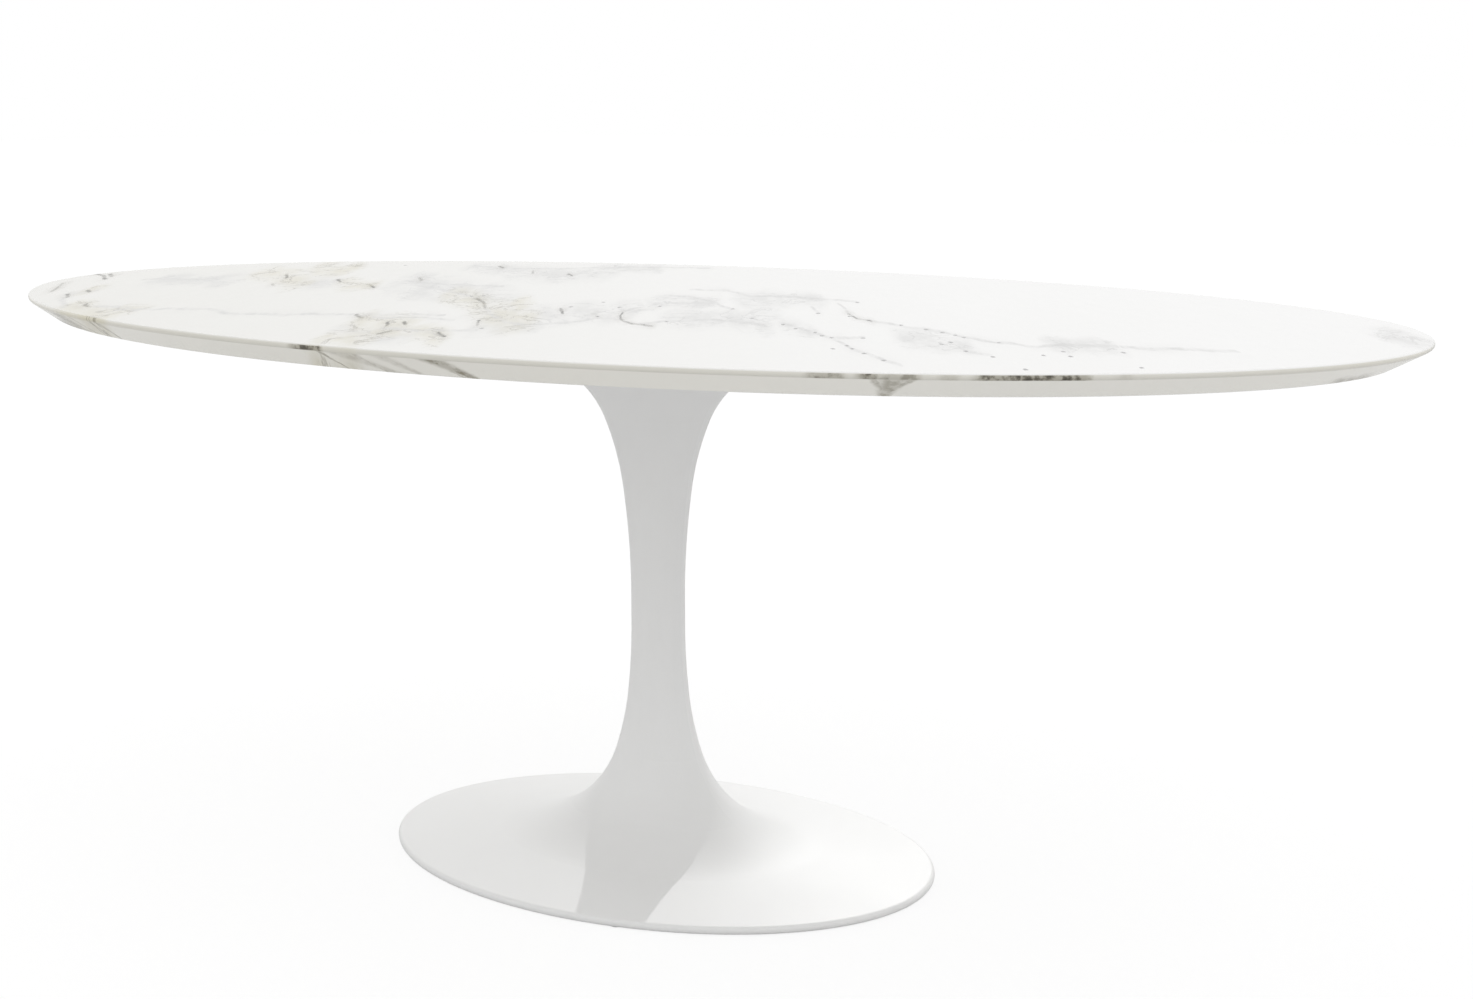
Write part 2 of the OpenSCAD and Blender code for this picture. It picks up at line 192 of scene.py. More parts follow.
stoneSet = {
    "white": (0.905, 0.900, 0.890),
    # warm tone of the clouds, also the painted shade that darkens one end of the top
    "warmAndShade": (0.755, 0.745, 0.700),
    "edge": (0.95, 0.93, 0.85),         # the ground edge is yellower than the face
    "beige": (0.61, 0.57, 0.42),
    "grey": (0.50, 0.495, 0.485),
    "crack": (0.045, 0.042, 0.038),
    "umber": (0.17, 0.145, 0.080),
    "roughness": 0.16,
    "patchRoughness": 0.06,     # added by the patch noise
    "crackRoughness": 0.15,
    "grainDepth": 0.00004,
    "grainTurn": 37.7,          # degrees from the long side to the across direction of the grain
    "strokeSquash": 0.14,       # veins and cracks are drawn out this much along the grain
    "speckSquash": 0.34,
    "noiseSquash": (1.0, 0.25),
    "flowSquash": (0.45, 0.25),
    # noises: cells per metre, octaves, roughness and twist
    "patchNoise": (26.0, 5, 0.66),
    "ridgeNoise": (34.0, 5, 0.6, 0.8),
    "wholeNoise": (70.0, 3, 0.6),
    "cloudNoise": (3.0, 4, 0.55),
    "smearNoise": (90.0, 3, 0.6),
    "shiverNoise": (130.0, 3, 0.5),
    # how marks wander: cells per metre, metres from side to side, octaves
    "veinWander": (22.0, 0.022, 3),
    "lineWander": (30.0, 0.0088, 5),
    "speckWander": (240.0, 0.004, 2),
    # the ground; a pair is where something sets in and where it is full
    "paintedShadeFade": (-0.75, 0.55),         # metres across the grain, from the painted shade at one end to white
    "clouding": (0.45, 0.72),
    "cloudShare": 0.10,
    "endReach": (0.45, 0.85),
    "edgeShare": (0.62, 0.30),          # at the middle, and what the two ends add
    # painted shade: share of umber laid over the whole near nose
    "noseShadeShare": 0.27,
    # the edge, in metres down from the face
    "noseDepth": (0.0006, 0.0016),
    "bevelDepth": (0.0060, 0.0070),
    "lipDepth": (0.015, 0.024),
    "bevelTop": 0.0064,
    "bevelDrop": 0.0171,
    "undersideFade": 0.001,             # up from the underside
    # the near half of the rim, the only one with marks and with the painted shade on the nose: how
    # its bound leans, where it fades out
    "nearLean": 0.39,
    "nearFade": (-0.08, 0.0),
    # marks on the nose and the bevel: metres that they fade in over and shiver by
    "markSoft": 0.010,
    "markShiver": 0.006,
    "smearing": (0.38, 0.62),
    "noseStain": (0.50, 0.45),          # share of umber, and what the smears add
    "noseBlack": 0.85,
    "bevelStain": (0.50, 0.40),
    "stripeFade": (0.2, 1.8),           # in half widths from a stripe's middle
    "stripeTaper": (1.2, 0.6),          # width at the bevel's top, and what is lost to its lip
    "lipShare": 0.75,
    # veins: their fade in half widths, how much colour the gaps between patches keep, and the
    # thin lines inside them
    "veinFade": (0.1, 1.8),
    "greyVein": {
        "colour": "grey", "patch": (0.36, 0.62), "least": 0.30, "share": 0.58,
        "line": "grey", "lineWidth": 0.022, "lineShare": 0.75,
    },
    "beigeVein": {
        "colour": "beige", "patch": (0.34, 0.62), "least": 0.35, "share": 0.80,
        "line": "umber", "lineWidth": 0.024, "lineShare": 0.80,
    },
    # thin lines: fade in crack widths, share of the colour at the least and what unbroken
    # stretches add, and the halo round them
    "crackWidth": 0.0017,
    "hairline": {
        "colour": "grey", "fade": (0.2, 2.0), "whole": (0.42, 0.64), "least": 0.28, "more": 0.45,
        "halo": "grey", "haloWidth": 0.012, "haloPatch": (0.35, 0.70), "haloShare": 0.20,
    },
    "split": {
        "colour": "crack", "fade": (0.3, 1.4), "whole": (0.44, 0.62), "least": 0.255, "more": 0.51,
        "halo": "umber", "haloWidth": 0.010, "haloPatch": (0.30, 0.70), "haloShare": 0.34,
    },
    "speckFade": (0.00105, 0.00345),    # metres from a speck's middle
    "speckShare": 0.85,
}

# Marks on the stone, in metres across and along its grain from the middle of the top:
# chains of points, where a soft vein has its half width first
beigeVeins = [
    (0.014, [(-0.60, 0.52), (-0.56, 0.47), (-0.53, 0.40), (-0.505, 0.33)]),
    (0.012, [(-0.535, 0.67), (-0.515, 0.58), (-0.48, 0.57)]),
    (0.010, [(-0.49, 0.66), (-0.475, 0.57)]),
    (0.010, [(-0.45, 0.36), (-0.43, 0.29), (-0.405, 0.28)]),
    (0.014, [(-0.27, 0.14), (-0.24, 0.05), (-0.215, -0.03)]),
    (0.016, [(-0.20, -0.07), (-0.18, -0.17), (-0.15, -0.24)]),
    (0.012, [(-0.34, -0.20), (-0.33, -0.26), (-0.30, -0.23), (-0.28, -0.26)]),
    (0.010, [(-0.245, -0.36), (-0.225, -0.39), (-0.22, -0.44)]),
    (0.008, [(-0.775, 0.235), (-0.765, 0.19)]),
    (0.006, [(-0.735, 0.02), (-0.72, -0.005)]),
    (0.009, [(-0.66, -0.08), (-0.635, -0.10)]),
    (0.012, [(-0.73, -0.03), (-0.71, -0.12), (-0.65, -0.18)]),
    (0.008, [(-0.30, -0.34), (-0.25, -0.34)]),
    (0.010, [(-0.345, -0.415), (-0.30, -0.425)]),
    (0.010, [(-0.175, 0.02), (-0.165, -0.04)]),
]
greyVeins = [
    (0.012, [(-0.72, 0.39), (-0.64, 0.39), (-0.615, 0.34)]),
    (0.014, [(-0.51, 0.36), (-0.47, 0.31)]),
    (0.010, [(-0.36, 0.46), (-0.345, 0.42), (-0.35, 0.28)]),
    (0.020, [(-0.36, 0.33), (-0.31, 0.24), (-0.27, 0.20)]),
    (0.016, [(-0.135, -0.14), (-0.10, -0.13), (-0.06, -0.12), (-0.03, -0.09)]),
    (0.012, [(0.0, 0.04), (0.03, 0.03), (0.07, 0.01)]),
    (0.014, [(0.03, -0.20), (0.08, -0.20), (0.12, -0.24)]),
    (0.014, [(0.11, 0.06), (0.15, 0.08), (0.20, 0.03)]),
    (0.012, [(0.145, -0.12), (0.12, -0.20), (0.13, -0.28)]),
    (0.012, [(0.285, -0.44), (0.315, -0.47), (0.335, -0.50)]),
    (0.016, [(-0.22, 0.52), (-0.15, 0.47), (-0.09, 0.50)]),
    (0.012, [(-0.10, 0.62), (-0.06, 0.62), (-0.02, 0.60)]),
    (0.012, [(-0.30, 0.62), (-0.26, 0.60), (-0.22, 0.58)]),
    (0.010, [(-0.345, -0.31), (-0.30, -0.40), (-0.26, -0.41)]),
    (0.010, [(-0.19, -0.32), (-0.16, -0.30), (-0.13, -0.27)]),
    (0.010, [(0.44, -0.52), (0.49, -0.53)]),
    (0.012, [(0.81, -0.44), (0.835, -0.42)]),
    (0.010, [(0.18, -0.36), (0.16, -0.28)]),
    (0.022, [(-0.235, 0.15), (-0.215, 0.06), (-0.20, -0.02)]),
    (0.020, [(-0.20, -0.05), (-0.185, -0.12), (-0.165, -0.18)]),
    (0.012, [(-0.32, 0.14), (-0.28, 0.12), (-0.25, 0.12)]),
]
cracks = [
    [(-0.845, 0.51), (-0.82, 0.465), (-0.80, 0.395)],
    [(-0.82, 0.50), (-0.805, 0.455)],
    [(-0.84, 0.33), (-0.832, 0.27), (-0.818, 0.19)],
    [(-0.785, 0.15), (-0.772, 0.09)],
    [(-0.775, 0.205), (-0.765, 0.175)],
    [(-0.722, 0.0), (-0.705, -0.045)],
    [(-0.468, 0.385), (-0.457, 0.335)],
    [(-0.41, 0.30), (-0.395, 0.255)],
    [(-0.56, 0.50), (-0.545, 0.42)],
    [(-0.547, 0.31), (-0.538, 0.275)],
    [(-0.235, 0.075), (-0.225, 0.03), (-0.217, -0.01), (-0.21, -0.06)],
    [(-0.037, -0.13), (-0.038, -0.165), (-0.035, -0.20), (-0.029, -0.235),
     (-0.018, -0.262), (0.004, -0.295)],
    [(0.237, -0.16), (0.243, -0.21), (0.257, -0.24)],
    [(-0.262, 0.655), (-0.254, 0.625)],
    [(-0.203, 0.56), (-0.199, 0.51)],
    [(-0.355, -0.16), (-0.342, -0.20)],
    [(-0.284, -0.255), (-0.278, -0.285)],
    [(-0.304, -0.255), (-0.298, -0.29)],
    [(-0.295, -0.385), (-0.285, -0.355)],
    [(-0.23, -0.37), (-0.218, -0.41)],
    [(-0.20, -0.23), (-0.195, -0.28)],
    [(-0.145, 0.50), (-0.138, 0.46)],
    [(-0.355, 0.42), (-0.345, 0.385)],
    [(-0.115, -0.08), (-0.108, -0.15)],
    [(-0.068, -0.14), (-0.063, -0.19)],
]
hairlines = [
    [(-0.785, 0.15), (-0.77, 0.165), (-0.76, 0.19), (-0.765, 0.235)],
    [(-0.776, 0.085), (-0.77, 0.05), (-0.75, 0.01), (-0.735, -0.04)],
    [(-0.70, -0.03), (-0.68, -0.055), (-0.655, -0.068), (-0.63, -0.10)],
    [(-0.35, 0.30), (-0.31, 0.23), (-0.27, 0.16), (-0.235, 0.08)],
    [(-0.36, 0.36), (-0.30, 0.30), (-0.22, 0.26)],
    [(-0.345, -0.17), (-0.31, -0.20), (-0.27, -0.19), (-0.23, -0.22)],
    [(-0.30, -0.32), (-0.26, -0.34), (-0.22, -0.40)],
    [(-0.30, 0.66), (-0.24, 0.60), (-0.16, 0.61), (-0.08, 0.64), (0.06, 0.62)],
    [(-0.66, -0.09), (-0.60, -0.07), (-0.55, -0.09), (-0.515, -0.14), (-0.45, -0.155),
     (-0.40, -0.135), (-0.36, -0.155)],
    [(-0.745, 0.40), (-0.66, 0.40)],
    [(-0.345, -0.155), (-0.25, -0.155)],
    [(-0.21, -0.06), (-0.19, -0.17), (-0.165, -0.25), (-0.14, -0.285), (-0.11, -0.265)],
    [(-0.11, -0.265), (-0.06, -0.21), (-0.035, -0.205)],
    [(-0.04, -0.10), (0.0, -0.09)],
    [(0.0, 0.01), (0.03, 0.0), (0.075, 0.0)],
    [(0.015, 0.12), (0.04, 0.10), (0.055, 0.06), (0.075, 0.01), (0.08, -0.03),
     (0.097, -0.08)],
    [(-0.01, -0.27), (0.02, -0.24), (0.07, -0.23), (0.12, -0.25), (0.135, -0.30)],
    [(0.04, 0.21), (0.09, 0.20), (0.12, 0.11), (0.18, 0.09), (0.255, 0.02)],
    [(0.12, -0.12), (0.122, -0.20), (0.128, -0.24)],
    [(0.23, -0.01), (0.235, -0.07), (0.237, -0.14)],
    [(0.195, -0.05), (0.201, -0.13)],
    [(0.155, -0.28), (0.17, -0.33), (0.19, -0.385), (0.205, -0.43)],
    [(0.205, -0.43), (0.215, -0.49), (0.222, -0.545), (0.232, -0.59)],
    [(0.205, -0.43), (0.24, -0.43)],
    [(0.257, -0.24), (0.285, -0.285), (0.305, -0.33), (0.33, -0.375), (0.35, -0.43),
     (0.38, -0.485)],
    [(0.38, -0.485), (0.41, -0.515), (0.45, -0.505), (0.50, -0.52)],
    [(0.34, -0.57), (0.36, -0.61)],
    [(0.505, -0.53), (0.53, -0.548), (0.58, -0.555), (0.615, -0.57)],
    [(0.235, -0.60), (0.25, -0.66), (0.262, -0.70)],
    [(-0.25, -0.34), (-0.19, -0.345)],
]
specks = [
    (-0.245, 0.105), (-0.23, 0.115), (-0.20, -0.23), (-0.187, -0.325), (-0.218, -0.415),
    (-0.068, 0.015), (-0.105, -0.05), (-0.044, -0.06), (0.006, -0.045), (0.097, -0.08),
    (0.12, -0.205), (0.02, -0.245), (-0.064, -0.18), (0.236, -0.18), (0.20, -0.14),
    (0.256, -0.232), (0.255, 0.01), (0.155, -0.28), (0.168, -0.33), (0.189, -0.375),
    (0.195, -0.41), (0.205, -0.43), (0.239, -0.435), (0.218, -0.515), (0.222, -0.545),
    (0.202, -0.545), (0.232, -0.59), (0.248, -0.655), (0.29, -0.29), (0.315, -0.34),
    (0.33, -0.375), (0.342, -0.405), (0.349, -0.43), (0.33, -0.48), (0.319, -0.50),
    (0.338, -0.57), (0.36, -0.625), (0.381, -0.485), (0.413, -0.61), (0.438, -0.575),
    (0.439, -0.62), (0.498, -0.585), (0.38, -0.735), (0.494, -0.72), (-0.262, 0.65),
    (-0.41, 0.675), (-0.085, 0.66), (-0.145, 0.48),
]
# Marks along the near edge: start, end across the grain, and how dark
noseMarks = [
    (-0.372, -0.338, 0.95), (0.171, 0.204, 0.75), (0.220, 0.236, 1.0), (0.236, 0.276, 0.62),
    (0.298, 0.312, 0.45), (0.329, 0.437, 1.0), (0.465, 0.478, 0.25),
]
# Stripes down the near bevel: where they start and end across the grain, half width, how dark
bevelMarks = [
    (-0.745, -0.700, 0.0140, 0.90), (-0.712, -0.678, 0.0026, 0.60),
    (-0.672, -0.650, 0.0022, 0.50), (-0.655, -0.632, 0.0032, 0.70),
    (-0.342, -0.313, 0.0022, 0.70), (-0.318, -0.262, 0.0120, 0.42),
    (-0.300, -0.268, 0.0034, 0.50), (-0.212, -0.172, 0.0105, 0.95),
    (-0.214, -0.182, 0.0030, 0.55), (0.232, 0.243, 0.0034, 0.60),
    (0.268, 0.245, 0.0040, 0.75), (-0.270, -0.230, 0.0080, 0.35),
    (0.252, 0.244, 0.0100, 0.70),
]
# Dark stretches along the bevel's lower lip: start and end across the grain
lipMarks = [(-0.82, -0.70), (0.70, 0.75)]


def squashed(point, squash):
    return point[0], point[1] * squash


def strokeDistance(f, place, start, end):
    # distance in plan from a place to the straight stroke between two points
    run = Vector((end[0] - start[0], end[1] - start[1], 0))
    away = f.vector("SUBTRACT", place, (*start, 0))
    share = f.clamp(
        f.vector("DOT_PRODUCT", away, tuple(run / run.length_squared), out="Value")
    )
    nearest = f.vector("SCALE", tuple(run), scale=share)
    return f.vector("DISTANCE", away, nearest, out="Value")


def extreme(f, operation, values):
    # the least or the greatest of several values, taken one by one as they are made
    found = None
    for value in values:
        found = value if found is None else f.maths(operation, found, value)
    return found


def strokeDistances(f, place, veins, squash):
    # distances to each stroke of several chains, in half widths where these are given
    for vein in veins:
        width, chain = vein if isinstance(vein, tuple) else (1.0, vein)
        points = [squashed(point, squash) for point in chain]
        for start, end in zip(points[:-1], points[1:]):
            yield strokeDistance(f, place, start, end) / width


def nearestStroke(f, s, place, veins):
    return extreme(f, "MINIMUM", strokeDistances(f, place, veins, s["strokeSquash"]))


def slabZones(f, s, turned):
    # where a point lies on the slab: across its grain, under its face, and on which part of it
    height = f.axis(f.place, "Z")
    across, along = f.axis(turned, "X"), f.axis(turned, "Y")
    nearSide = f.fall(along + s["nearLean"] * across, *s["nearFade"])
    depth = stoneTop - height
    onFace = f.fall(depth, *s["noseDepth"])
    onBevel = f.step(depth, *s["bevelDepth"])
    onNose = 1 - f.maths("MAXIMUM", onFace, onBevel)
    return SimpleNamespace(
        height=height, across=across, depth=depth, nearSide=nearSide,
        onFace=onFace, onBevel=onBevel, onNose=onNose,
    )


def grainNoises(f, s, turned):
    # the noises that break up the figure, all drawn out along the grain
    grain = f.vector("MULTIPLY", turned, (*s["noiseSquash"], 0))
    flow = f.vector("MULTIPLY", turned, (*s["flowSquash"], 0))
    return SimpleNamespace(
        patch=f.noise(grain, *s["patchNoise"]),
        ridge=f.maths("ABSOLUTE", f.noise(flow, *s["ridgeNoise"]) - 0.5),
        whole=f.noise(grain, *s["wholeNoise"]),
        cloud=f.noise(grain, *s["cloudNoise"]),
    )


def stoneGround(f, s, slab, noises):
    # painted shade, warm and darker, at one end of the top and white at the other, with warm
    # clouds, the edge tinted, and painted shade on the near nose
    body = f.blend(f.step(slab.across, *s["paintedShadeFade"]), s["warmAndShade"], s["white"])
    clouds = f.step(noises.cloud, *s["clouding"]) * s["cloudShare"]
    body = f.blend(clouds, body, s["warmAndShade"])
    share, more = s["edgeShare"]
    ends = f.step(f.maths("ABSOLUTE", slab.across), *s["endReach"])
    above = f.step(slab.height, stoneUnderside, stoneUnderside + s["undersideFade"])
    onEdge = (1 - slab.onFace) * above
    body = f.blend(onEdge * (share + more * ends), body, s["edge"])
    # painted shade: the whole near nose darkened with umber
    return f.blend(slab.onNose * s["noseShadeShare"] * slab.nearSide, body, s["umber"])


def addVeins(f, s, body, place, veins, look, noises):
    inside = f.fall(nearestStroke(f, s, place, veins), *s["veinFade"])
    patch = look["least"] + (1 - look["least"]) * f.step(noises.patch, *look["patch"])
    body = f.blend(inside * patch * look["share"], body, s[look["colour"]])
    line = f.fall(noises.ridge, 0.0, look["lineWidth"])
    return f.blend(inside * line * look["lineShare"], body, s[look["line"]])


def addLines(f, s, body, place, lines, look, noises):
    # thin lines in a faint halo; also gives the mask of the lines themselves
    gap = nearestStroke(f, s, place, lines)
    halo = f.fall(gap, 0.0, look["haloWidth"]) * f.step(noises.patch, *look["haloPatch"])
    body = f.blend(halo * look["haloShare"], body, s[look["halo"]])
    line = f.fall(gap, *(widths * s["crackWidth"] for widths in look["fade"]))
    share = look["least"] + look["more"] * f.step(noises.whole, *look["whole"])
    return f.blend(line * share, body, s[look["colour"]]), line


def addSpecks(f, s, body, turned, slab):
    spread = f.vector("MULTIPLY", turned, (1, s["speckSquash"], 0))
    place = f.warp(spread, *s["speckWander"])
    nearest = extreme(f, "MINIMUM", (
        f.vector("DISTANCE", place, (*squashed(speck, s["speckSquash"]), 0), out="Value")
        for speck in specks
    ))
    dots = f.fall(nearest, *s["speckFade"])
    return f.blend(dots * s["speckShare"] * slab.onFace, body, s["crack"])


def addNoseMarks(f, s, body, slab, jagged, smear):
    soft = s["markSoft"]
    marks = extreme(f, "MAXIMUM", (
        f.step(jagged, start - soft, start + soft)
        * f.fall(jagged, end - soft / 2, end + soft / 2) * dark
        for start, end, dark in noseMarks
    )) * slab.onNose * slab.nearSide
    share, more = s["noseStain"]
    body = f.blend(marks * (share + more * smear), body, s["umber"])
    return f.blend(marks ** 3.0 * smear * s["noseBlack"], body, s["crack"])


def addBevelMarks(f, s, body, slab, jagged, shiver, smear):
    # stripes that lean and narrow down the bevel, and stains on its lower lip
    soft = s["markSoft"]
    thin, wide = s["stripeFade"]
    full, lost = s["stripeTaper"]
    down = (slab.depth - s["bevelTop"]) / s["bevelDrop"]
    taper = full - lost * down
    stripes = extreme(f, "MAXIMUM", (
        f.fall(f.maths("ABSOLUTE", jagged - start - (end - start) * down),
               thin * width, wide * width * taper) * dark
        for start, end, width, dark in bevelMarks
    )) * slab.onBevel * slab.nearSide
    lip = f.step(slab.depth + shiver, *s["lipDepth"]) * extreme(f, "MAXIMUM", (
        f.step(slab.across, start - soft, start + soft)
        * f.fall(slab.across, end - soft, end + soft)
        for start, end in lipMarks
    )) * slab.nearSide
    marks = f.maths("MAXIMUM", stripes, lip * s["lipShare"])
    share, more = s["bevelStain"]
    return f.blend(marks * (share + more * smear), body, s["umber"])


def stoneFinish(s):
    f = Finish("veined stone", Roughness=s["roughness"], IOR=1.5)
    turned = f.node(
        "ShaderNodeVectorRotate", {"rotation_type": "Z_AXIS"},
        {"Vector": f.place, "Angle": -math.radians(s["grainTurn"])},
    )
    strokes = f.vector("MULTIPLY", turned, (1, s["strokeSquash"], 0))
    slab = slabZones(f, s, turned)
    veinPlace = f.warp(strokes, *s["veinWander"])
    linePlace = f.warp(strokes, *s["lineWander"])
    noises = grainNoises(f, s, turned)
    body = stoneGround(f, s, slab, noises)
    body = addVeins(f, s, body, veinPlace, greyVeins, s["greyVein"], noises)
    body = addVeins(f, s, body, veinPlace, beigeVeins, s["beigeVein"], noises)
    body, _ = addLines(f, s, body, linePlace, hairlines, s["hairline"], noises)
    body, split = addLines(f, s, body, linePlace, cracks, s["split"], noises)
    body = addSpecks(f, s, body, turned, slab)
    smear = f.step(f.noise(f.place, *s["smearNoise"]), *s["smearing"])
    shiver = (f.noise(f.place, *s["shiverNoise"]) - 0.5) * s["markShiver"]
    jagged = slab.across + shiver
    body = addNoseMarks(f, s, body, slab, jagged, smear)
    body = addBevelMarks(f, s, body, slab, jagged, shiver, smear)
    return f.feed(
        Base_Color=body,
        Roughness=(s["roughness"] + s["patchRoughness"] * noises.patch
                   + s["crackRoughness"] * split),
        Normal=f.bump(noises.whole, s["grainDepth"]),
    )


dress("stone_top", stoneFinish(stoneSet))
print("stone dressed")

coatSet = {
    "white": (0.862, 0.862, 0.857),
    "shade": (0.80, 0.80, 0.795),
    "shadeShare": 0.05,
    "roughness": 0.48,
    "unevenness": 0.05,     # added to the roughness by the casting
    "peelNoise": (260.0, 2),    # orange peel: cells per metre, octaves
    "peelDepth": 0.00006,
    "castNoise": (9.0, 2),      # the casting under the coat isn't quite even
    "castDepth": 0.0006,
    "castStep": (0.35, 0.75),
}


def coatFinish(s):
    f = Finish("white coat", Roughness=s["roughness"], IOR=1.5)
    peel = f.noise(f.place, *s["peelNoise"])
    cast = f.noise(f.place, *s["castNoise"])
    return f.feed(
        Base_Color=f.blend(f.step(cast, *s["castStep"]) * s["shadeShare"], s["white"], s["shade"]),
        Roughness=s["roughness"] + s["unevenness"] * cast,
        Normal=f.bump(peel, s["peelDepth"], f.bump(cast, s["castDepth"])),
    )


dress("pedestal", coatFinish(coatSet))
print("pedestal dressed")

boardSet = {
    "primer": [(0.30, (0.70, 0.69, 0.67)), (0.55, (0.75, 0.74, 0.72)),
               (0.80, (0.79, 0.78, 0.76))],
    "pore": (0.60, 0.58, 0.55),
    "poreStep": (0.55, 0.75),
    "poreShare": 0.25,
    "poreDepth": 0.0002,
    "plyDark": (0.44, 0.31, 0.18),
    "plyPale": (0.62, 0.47, 0.29),
    "glue": (0.20, 0.12, 0.07),
    "glueShare": 0.7,
    "plyThickness": 3.1,        # millimetres
    "glueThickness": 0.22,
    "edgeStep": (0.3, 0.6),     # the normal's Z, where the bare plies end and the face begins
    # cells per metre along X, Y and Z, then octaves, roughness and twist at that size
    "figureCells": (2.2, 34.0, 34.0),
    "figureNoise": (6, 0.62, 0.8),
    "poreCells": (30.0, 900.0, 900.0),
    "poreNoise": (2,),
    "roughness": (0.55, 0.2),   # at the least, and what the figure adds
}


def boardFinish(s):
    # faces primed white over the veneer's figure, and bare plies with glue lines at the edge
    f = Finish("plywood", Roughness=0.62)
    figure = f.noise(f.vector("MULTIPLY", f.place, s["figureCells"]), 1.0, *s["figureNoise"])
    pores = f.noise(f.vector("MULTIPLY", f.place, s["poreCells"]), 1.0, *s["poreNoise"])
    primer = f.node("ShaderNodeValToRGB", {"stops": s["primer"]}, {"Fac": figure})
    millimetres = f.axis(f.place, "Z") * 1000.0
    ply = f.maths("PINGPONG", millimetres, s["plyThickness"] / 2)
    glueLine = f.fall(ply, 0.0, s["glueThickness"])
    facing = f.axis(f.node("ShaderNodeNewGeometry", out="Normal"), "Z")
    edge = f.fall(f.maths("ABSOLUTE", facing), *s["edgeStep"])
    tone = f.blend(f.step(pores, *s["poreStep"]) * s["poreShare"], primer, s["pore"])
    tone = f.blend(edge, tone, f.blend(figure, s["plyDark"], s["plyPale"]))
    tone = f.blend(edge * glueLine * s["glueShare"], tone, s["glue"])
    least, more = s["roughness"]
    return f.feed(
        Base_Color=tone,
        Roughness=least + more * figure,
        Normal=f.bump(pores, s["poreDepth"]),
    )


spiderSet = {
    "pale": (0.66, 0.66, 0.65),
    "shade": (0.54, 0.54, 0.53),
    "shadeShare": 0.25,
    "roughness": (0.48, 0.18),      # at the least, and what the sand adds
    "sandNoise": (420.0, 3, 0.6),   # cells per metre, octaves, roughness
    "sandDepth": 0.0003,
    "lumpNoise": (34.0, 3),
    "lumpDepth": 0.0008,
    "lumpStep": (0.4, 0.7),
}


def spiderFinish(s):
    # a thin matt coat over sand cast arms
    f = Finish("spider coat", Roughness=0.55, IOR=1.5)
    sand = f.noise(f.place, *s["sandNoise"])
    lumps = f.noise(f.place, *s["lumpNoise"])
    least, more = s["roughness"]
    return f.feed(
        Base_Color=f.blend(f.step(lumps, *s["lumpStep"]) * s["shadeShare"], s["pale"], s["shade"]),
        Roughness=least + more * sand,
        Normal=f.bump(sand, s["sandDepth"], f.bump(lumps, s["lumpDepth"])),
    )


# Each metal's colour, roughness, and lines per metre along X, Y and Z
metalSet = {
    "zinc plated steel": ((0.60, 0.61, 0.62), 0.34, (900.0, 900.0, 60.0)),
    "spring steel": ((0.26, 0.27, 0.29), 0.42, (500.0, 500.0, 500.0)),
    "brass": ((0.72, 0.53, 0.22), 0.30, (700.0, 700.0, 700.0)),
}
# How every metal is brushed and stained
metalWear = {
    "brushRoughness": 0.22,
    "brushDepth": 0.00005,
    "stainNoise": (55.0, 3, 0.6),       # cells per metre, octaves, roughness
    "stainStep": (0.40, 0.75),
    "stainShare": 0.5,
    "stainDarkness": 0.72,              # of the metal's own colour
    "stainRoughness": 0.1,
}


def metalFinish(name, colour, roughness, lines):
    f, s = Finish(name, Metallic=1.0, Roughness=roughness), metalWear
    brushed = f.noise(f.vector("MULTIPLY", f.place, lines), 1.0, 3, 0.6)
    stain = f.noise(f.place, *s["stainNoise"])
    dark = tuple(s["stainDarkness"] * part for part in colour)
    return f.feed(
        Base_Color=f.blend(f.step(stain, *s["stainStep"]) * s["stainShare"], colour, dark),
        Roughness=(roughness + s["brushRoughness"] * (brushed - 0.5)
                   + s["stainRoughness"] * stain),
        Normal=f.bump(brushed, s["brushDepth"]),
    )


# Each soft material's colour, worn colour, roughness, grains per metre and grain depth
softSet = {
    "rubber": ((0.030, 0.030, 0.032), (0.065, 0.062, 0.058), 0.78, 700.0, 0.0002),
    "adhesive": ((0.62, 0.60, 0.54), (0.52, 0.49, 0.42), 0.60, 300.0, 0.0004),
    "glide plastic": ((0.72, 0.72, 0.70), (0.55, 0.54, 0.51), 0.50, 500.0, 0.0001),
}


# How every soft material is worn
softWear = {
    "coarseness": 9,            # wear marks are this much coarser than the grain
    "wearStep": (0.42, 0.72),
    "wearShare": 0.6,
    "unevenness": (0.08, 0.16),     # taken off the roughness, and what the grain puts back
}


def softFinish(name, colour, worn, roughness, grainScale, grainDepth):
    f, s = Finish(name, Roughness=roughness, IOR=1.45), softWear
    grain = f.noise(f.place, grainScale, 3, 0.6)
    marks = f.noise(f.place, grainScale / s["coarseness"], 3, 0.6)
    less, more = s["unevenness"]
    return f.feed(
        Base_Color=f.blend(f.step(marks, *s["wearStep"]) * s["wearShare"], colour, worn),
        Roughness=roughness - less + more * grain,
        Normal=f.bump(grain, grainDepth),
    )


finishes = {name: metalFinish(name, *values) for name, values in metalSet.items()}
finishes |= {name: softFinish(name, *values) for name, values in softSet.items()}
finishes["plywood"] = boardFinish(boardSet)
finishes["spider coat"] = spiderFinish(spiderSet)

for finishName, nodeNames in {
    "adhesive": ["bond_layer"],
    "plywood": ["backing_board"],
    "brass": ["board_inserts"],
    "rubber": ["isolation_pads"],
    "spider coat": ["mounting_spider"],
    "zinc plated steel": ["top_screws", "top_screw_washers", "locating_pins", "tie_rod",
                          "tie_rod_top_washer", "tie_rod_top_nut", "tie_rod_clamp_plate",
                          "tie_rod_bottom_washer", "tie_rod_bottom_nut", "glide_screws"],
    "spring steel": ["top_screw_lock_washers", "tie_rod_lock_washer"],
    "glide plastic": ["floor_glides"],
}.items():
    for nodeName in nodeNames:
        dress(nodeName, finishes[finishName])
print("hidden pieces dressed")

